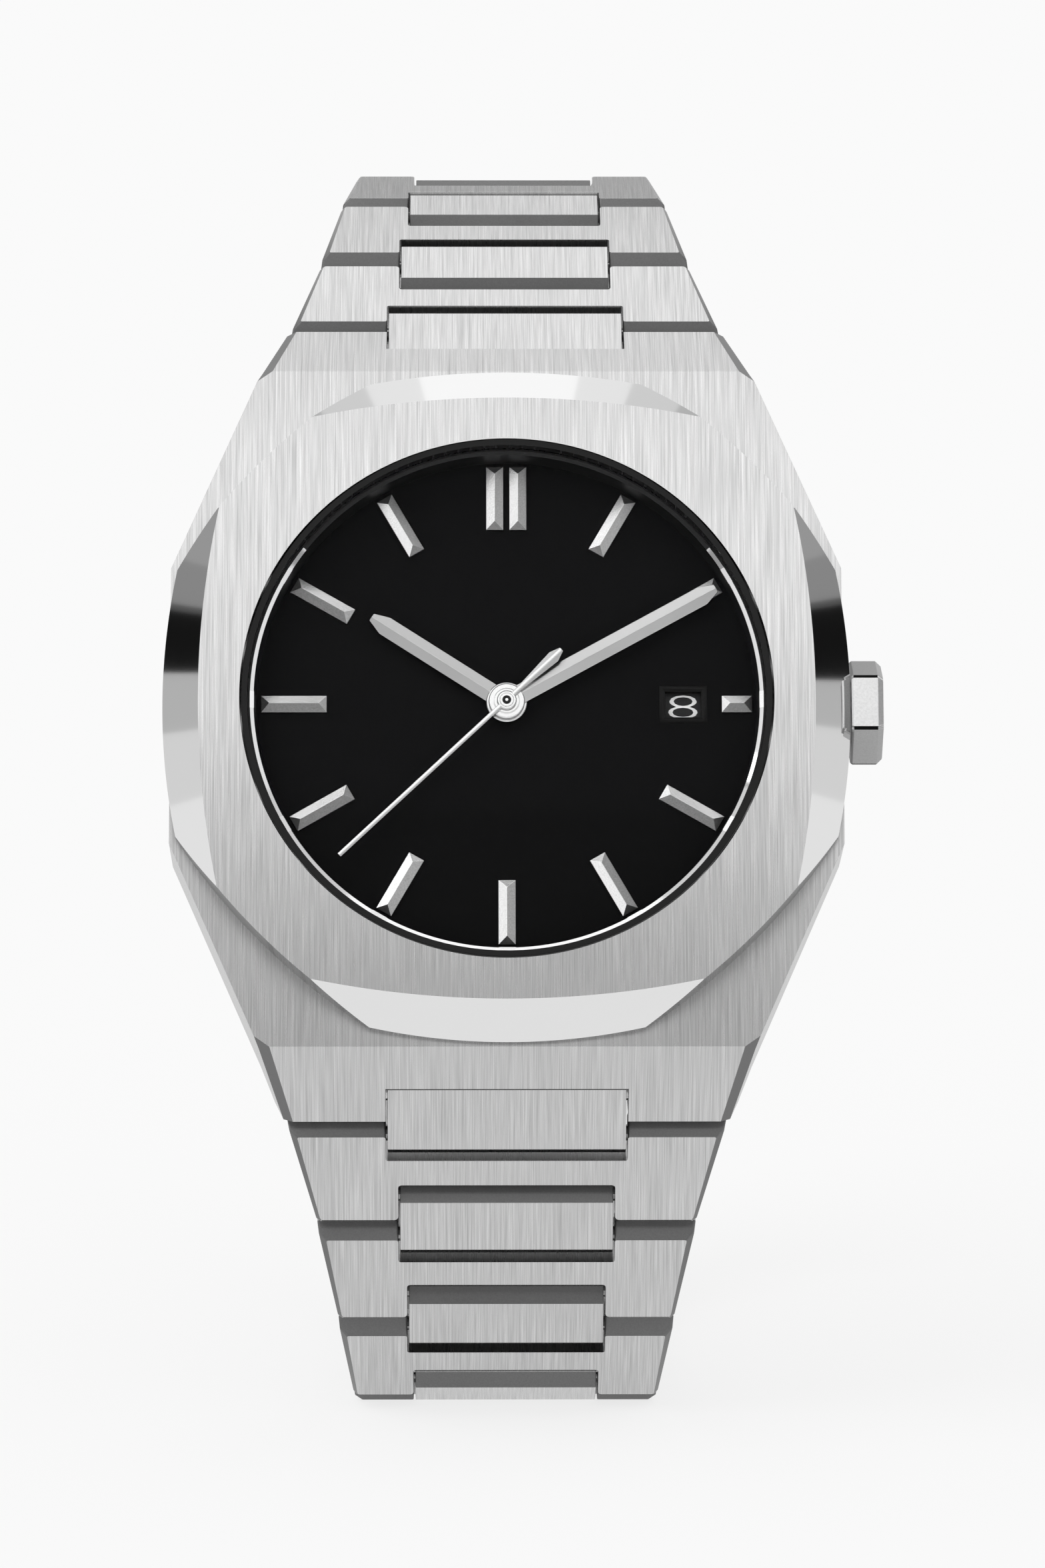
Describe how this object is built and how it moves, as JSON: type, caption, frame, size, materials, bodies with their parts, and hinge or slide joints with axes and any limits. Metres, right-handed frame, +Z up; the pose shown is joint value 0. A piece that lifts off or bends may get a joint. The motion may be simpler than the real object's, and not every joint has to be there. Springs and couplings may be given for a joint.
{
  "type": "wristwatch",
  "caption": "Steel bracelet wristwatch with an eight-sided bezel, hinged centre and outer links and a folding clasp, closed and standing on its bracelet.",
  "frame": {"origin": "on the table, in the middle of the outer face of the bracelet centre link that the watch rests on", "axes": "+X to the three o'clock side, +Y away from the dial, +Z up"},
  "size_m": [0.0439, 0.0603, 0.075],
  "materials": {
    "steel": "brushed, with polished bevels",
    "sapphire": "clear polished",
    "gasket": "matte",
    "dial": "matte black",
    "hands_and_markers": "facetted, polished",
    "date_ring": "matte black",
    "movement": "satin",
    "balance": "satin"
  },
  "bodies": {
    "case": {"case_middle": "steel", "bezel": "steel", "crystal": "sapphire", "crystal_gasket": "gasket", "flange_ring": "dial", "dial": "dial", "hour_markers": "hands_and_markers", "movement_plate": "movement", "caseback": "steel", "caseback_window": "sapphire", "caseback_screws": "steel", "crown_tube": "steel"},
    "hour_hand": {"hour_hand": "hands_and_markers"},
    "minute_hand": {"minute_hand": "hands_and_markers"},
    "seconds_hand": {"seconds_hand": "hands_and_markers"},
    "date_ring": {"date_ring": "date_ring"},
    "balance_wheel": {"balance_wheel": "balance"},
    "winding_rotor": {"winding_rotor": "movement"},
    "crown_pull": {"crown_gasket": "gasket"},
    "crown_and_stem": {"crown": "steel", "winding_stem": "steel"},
    "clasp_inner_blade": {"clasp_inner_blade": "steel"},
    "clasp_outer_blade": {"clasp_outer_blade": "steel"},
    "clasp_cover": {"clasp_cover": "steel"},
    "clasp_button_left": {"clasp_button_left": "steel"},
    "clasp_button_right": {"clasp_button_right": "steel"},
    "centre_upper_00": {"centre_upper_00": "steel"},
    "link_upper_01": {"link_upper_01": "steel"},
    "centre_upper_01": {"centre_upper_01": "steel"},
    "link_upper_02": {"link_upper_02": "steel"},
    "centre_upper_02": {"centre_upper_02": "steel"},
    "link_upper_03": {"link_upper_03": "steel"},
    "centre_upper_03": {"centre_upper_03": "steel"},
    "link_upper_04": {"link_upper_04": "steel"},
    "centre_upper_04": {"centre_upper_04": "steel"},
    "link_upper_05": {"link_upper_05": "steel"},
    "centre_upper_05": {"centre_upper_05": "steel"},
    "link_upper_06": {"link_upper_06": "steel"},
    "centre_upper_06": {"centre_upper_06": "steel"},
    "link_upper_07": {"link_upper_07": "steel"},
    "centre_upper_07": {"centre_upper_07": "steel"},
    "link_upper_08": {"link_upper_08": "steel"},
    "centre_upper_08": {"centre_upper_08": "steel"},
    "link_upper_09": {"link_upper_09": "steel"},
    "centre_upper_09": {"centre_upper_09": "steel"},
    "link_upper_10": {"link_upper_10": "steel"},
    "centre_lower_00": {"centre_lower_00": "steel"},
    "link_lower_01": {"link_lower_01": "steel"},
    "centre_lower_01": {"centre_lower_01": "steel"},
    "link_lower_02": {"link_lower_02": "steel"},
    "centre_lower_02": {"centre_lower_02": "steel"},
    "link_lower_03": {"link_lower_03": "steel"},
    "centre_lower_03": {"centre_lower_03": "steel"},
    "link_lower_04": {"link_lower_04": "steel"},
    "centre_lower_04": {"centre_lower_04": "steel"},
    "link_lower_05": {"link_lower_05": "steel"},
    "centre_lower_05": {"centre_lower_05": "steel"},
    "link_lower_06": {"link_lower_06": "steel"},
    "centre_lower_06": {"centre_lower_06": "steel"},
    "link_lower_07": {"link_lower_07": "steel"}
  },
  "joints": [
    {"name": "crown_pull", "type": "slide", "parent": "case", "child": "crown_pull", "axis": [1, 0, 0], "range_m": [0, 0.0012]},
    {"name": "crown_turn", "type": "hinge", "parent": "crown_pull", "child": "crown_and_stem", "pos_m": [0, -0.01007, 0.04379], "axis": [1, 0, 0], "continuous": true},
    {"name": "clasp_blade_fold", "type": "hinge", "parent": "clasp_inner_blade", "child": "clasp_outer_blade", "pos_m": [0, 0.03683, 0.03089], "axis": [1, 0, 0], "range_deg": [0, 90]},
    {"name": "clasp_cover_fold", "type": "hinge", "parent": "clasp_outer_blade", "child": "clasp_cover", "pos_m": [0, 0.02061, 0.00509], "axis": [-1, 0, 0], "range_deg": [0, 84]},
    {"name": "clasp_button_left_push", "type": "slide", "parent": "clasp_cover", "child": "clasp_button_left", "axis": [-1, 0, 0], "range_m": [0, 0.0004], "stiffness_N_per_m": 300},
    {"name": "clasp_button_right_push", "type": "slide", "parent": "clasp_cover", "child": "clasp_button_right", "axis": [1, 0, 0], "range_m": [0, 0.0004], "stiffness_N_per_m": 300},
    {"name": "seconds_hand_turn", "type": "hinge", "parent": "case", "child": "seconds_hand", "pos_m": [0, -0.01213, 0.04456], "axis": [0, 0.9367, -0.3502], "continuous": true},
    {"name": "minute_hand_turn", "type": "hinge", "parent": "case", "child": "minute_hand", "pos_m": [0, -0.01213, 0.04456], "axis": [0, 0.9367, -0.3502], "continuous": true},
    {"name": "hour_hand_turn", "type": "hinge", "parent": "case", "child": "hour_hand", "pos_m": [0, -0.01213, 0.04456], "axis": [0, 0.9367, -0.3502], "continuous": true},
    {"name": "date_ring_turn", "type": "hinge", "parent": "case", "child": "date_ring", "pos_m": [0, -0.01213, 0.04456], "axis": [0, 0.9367, -0.3502], "continuous": true},
    {"name": "winding_rotor_turn", "type": "hinge", "parent": "case", "child": "winding_rotor", "pos_m": [0, -0.01213, 0.04456], "axis": [0, -0.9367, 0.3502], "continuous": true},
    {"name": "balance_wheel_swing", "type": "hinge", "parent": "case", "child": "balance_wheel", "pos_m": [-0.0066, -0.00805, 0.04304], "axis": [0, -0.9367, 0.3502], "range_deg": [-150, 150], "stiffness_Nm_per_rad": 0.0000008},
    {"name": "centre_upper_00_bend", "type": "hinge", "parent": "case", "child": "centre_upper_00", "pos_m": [0, 0.00072, 0.06436], "axis": [1, 0, 0], "range_deg": [0, 8]},
    {"name": "link_upper_01_bend", "type": "hinge", "parent": "centre_upper_00", "child": "link_upper_01", "pos_m": [0, 0.00294, 0.06589], "axis": [1, 0, 0], "range_deg": [0, 4]},
    {"name": "centre_upper_01_bend", "type": "hinge", "parent": "link_upper_01", "child": "centre_upper_01", "pos_m": [0, 0.00628, 0.06819], "axis": [1, 0, 0], "range_deg": [0, 4]},
    {"name": "link_upper_02_bend", "type": "hinge", "parent": "centre_upper_01", "child": "link_upper_02", "pos_m": [0, 0.00851, 0.06972], "axis": [1, 0, 0], "range_deg": [0, 6.5]},
    {"name": "centre_upper_02_bend", "type": "hinge", "parent": "link_upper_02", "child": "centre_upper_02", "pos_m": [0, 0.01208, 0.07162], "axis": [1, 0, 0], "range_deg": [0, 8.25]},
    {"name": "link_upper_03_bend", "type": "hinge", "parent": "centre_upper_02", "child": "link_upper_03", "pos_m": [0, 0.01462, 0.07253], "axis": [1, 0, 0], "range_deg": [0, 8.25]},
    {"name": "centre_upper_03_bend", "type": "hinge", "parent": "link_upper_03", "child": "centre_upper_03", "pos_m": [0, 0.01859, 0.07334], "axis": [1, 0, 0], "range_deg": [0, 20.4]},
    {"name": "link_upper_04_bend", "type": "hinge", "parent": "centre_upper_03", "child": "link_upper_04", "pos_m": [0, 0.02126, 0.07292], "axis": [1, 0, 0], "range_deg": [0, 16.32]},
    {"name": "centre_upper_04_bend", "type": "hinge", "parent": "link_upper_04", "child": "centre_upper_04", "pos_m": [0, 0.02492, 0.0712], "axis": [1, 0, 0], "range_deg": [0, 13.05]},
    {"name": "link_upper_05_bend", "type": "hinge", "parent": "centre_upper_04", "child": "link_upper_05", "pos_m": [0, 0.02704, 0.06952], "axis": [1, 0, 0], "range_deg": [0, 10.44]},
    {"name": "centre_upper_05_bend", "type": "hinge", "parent": "link_upper_05", "child": "centre_upper_05", "pos_m": [0, 0.02972, 0.06648], "axis": [1, 0, 0], "range_deg": [0, 8.35]},
    {"name": "link_upper_06_bend", "type": "hinge", "parent": "centre_upper_05", "child": "link_upper_06", "pos_m": [0, 0.03118, 0.06421], "axis": [1, 0, 0], "range_deg": [0, 6.68]},
    {"name": "centre_upper_06_bend", "type": "hinge", "parent": "link_upper_06", "child": "centre_upper_06", "pos_m": [0, 0.03297, 0.06058], "axis": [1, 0, 0], "range_deg": [0, 5.35]},
    {"name": "link_upper_07_bend", "type": "hinge", "parent": "centre_upper_06", "child": "link_upper_07", "pos_m": [0, 0.03394, 0.05806], "axis": [1, 0, 0], "range_deg": [0, 4.28]},
    {"name": "centre_upper_07_bend", "type": "hinge", "parent": "link_upper_07", "child": "centre_upper_07", "pos_m": [0, 0.0351, 0.05418], "axis": [1, 0, 0], "range_deg": [0, 4]},
    {"name": "link_upper_08_bend", "type": "hinge", "parent": "centre_upper_07", "child": "link_upper_08", "pos_m": [0, 0.03571, 0.05155], "axis": [1, 0, 0], "range_deg": [0, 4]},
    {"name": "centre_upper_08_bend", "type": "hinge", "parent": "link_upper_08", "child": "centre_upper_08", "pos_m": [0, 0.03645, 0.04757], "axis": [1, 0, 0], "range_deg": [0, 4]},
    {"name": "link_upper_09_bend", "type": "hinge", "parent": "centre_upper_08", "child": "link_upper_09", "pos_m": [0, 0.03684, 0.0449], "axis": [1, 0, 0], "range_deg": [0, 4]},
    {"name": "centre_upper_09_bend", "type": "hinge", "parent": "link_upper_09", "child": "centre_upper_09", "pos_m": [0, 0.0373, 0.04087], "axis": [1, 0, 0], "range_deg": [0, 4]},
    {"name": "link_upper_10_bend", "type": "hinge", "parent": "centre_upper_09", "child": "link_upper_10", "pos_m": [0, 0.03754, 0.03818], "axis": [1, 0, 0], "range_deg": [0, 4]},
    {"name": "centre_lower_00_bend", "type": "hinge", "parent": "case", "child": "centre_lower_00", "pos_m": [0, -0.01542, 0.02119], "axis": [-1, 0, 0], "range_deg": [0, 8]},
    {"name": "link_lower_01_bend", "type": "hinge", "parent": "centre_lower_00", "child": "link_lower_01", "pos_m": [0, -0.01475, 0.01858], "axis": [-1, 0, 0], "range_deg": [0, 4]},
    {"name": "centre_lower_01_bend", "type": "hinge", "parent": "link_lower_01", "child": "centre_lower_01", "pos_m": [0, -0.01373, 0.01466], "axis": [-1, 0, 0], "range_deg": [0, 4]},
    {"name": "link_lower_02_bend", "type": "hinge", "parent": "centre_lower_01", "child": "link_lower_02", "pos_m": [0, -0.01306, 0.01204], "axis": [-1, 0, 0], "range_deg": [0, 6.5]},
    {"name": "centre_lower_02_bend", "type": "hinge", "parent": "link_lower_02", "child": "centre_lower_02", "pos_m": [0, -0.01161, 0.00826], "axis": [-1, 0, 0], "range_deg": [0, 8.25]},
    {"name": "link_lower_03_bend", "type": "hinge", "parent": "centre_lower_02", "child": "link_lower_03", "pos_m": [0, -0.01029, 0.00591], "axis": [-1, 0, 0], "range_deg": [0, 8.25]},
    {"name": "centre_lower_03_bend", "type": "hinge", "parent": "link_lower_03", "child": "centre_lower_03", "pos_m": [0, -0.00782, 0.00269], "axis": [-1, 0, 0], "range_deg": [0, 26.25]},
    {"name": "link_lower_04_bend", "type": "hinge", "parent": "centre_lower_03", "child": "link_lower_04", "pos_m": [0, -0.0054, 0.0015], "axis": [-1, 0, 0], "range_deg": [0, 26.25]},
    {"name": "centre_lower_04_bend", "type": "hinge", "parent": "link_lower_04", "child": "centre_lower_04", "pos_m": [0, -0.00135, 0.0015], "axis": [-1, 0, 0], "range_deg": [0, 4]},
    {"name": "link_lower_05_bend", "type": "hinge", "parent": "centre_lower_04", "child": "link_lower_05", "pos_m": [0, 0.00135, 0.0015], "axis": [-1, 0, 0], "range_deg": [0, 4]},
    {"name": "centre_lower_05_bend", "type": "hinge", "parent": "link_lower_05", "child": "centre_lower_05", "pos_m": [0, 0.0054, 0.0015], "axis": [-1, 0, 0], "range_deg": [0, 4]},
    {"name": "link_lower_06_bend", "type": "hinge", "parent": "centre_lower_05", "child": "link_lower_06", "pos_m": [0, 0.0081, 0.0015], "axis": [-1, 0, 0], "range_deg": [0, 4]},
    {"name": "centre_lower_06_bend", "type": "hinge", "parent": "link_lower_06", "child": "centre_lower_06", "pos_m": [0, 0.01215, 0.0015], "axis": [-1, 0, 0], "range_deg": [0, 12.5]},
    {"name": "link_lower_07_bend", "type": "hinge", "parent": "centre_lower_06", "child": "link_lower_07", "pos_m": [0, 0.01479, 0.00208], "axis": [-1, 0, 0], "range_deg": [0, 12.5]},
    {"name": "clasp_bend", "type": "hinge", "parent": "link_lower_07", "child": "clasp_inner_blade", "pos_m": [0, 0.01846, 0.0038], "axis": [-1, 0, 0], "range_deg": [0, 8.88]}
  ],
  "couplings": [
    {"joint": "minute_hand_turn", "follows": "seconds_hand_turn", "ratio": 0.016667},
    {"joint": "hour_hand_turn", "follows": "seconds_hand_turn", "ratio": 0.0013889}
  ]
}
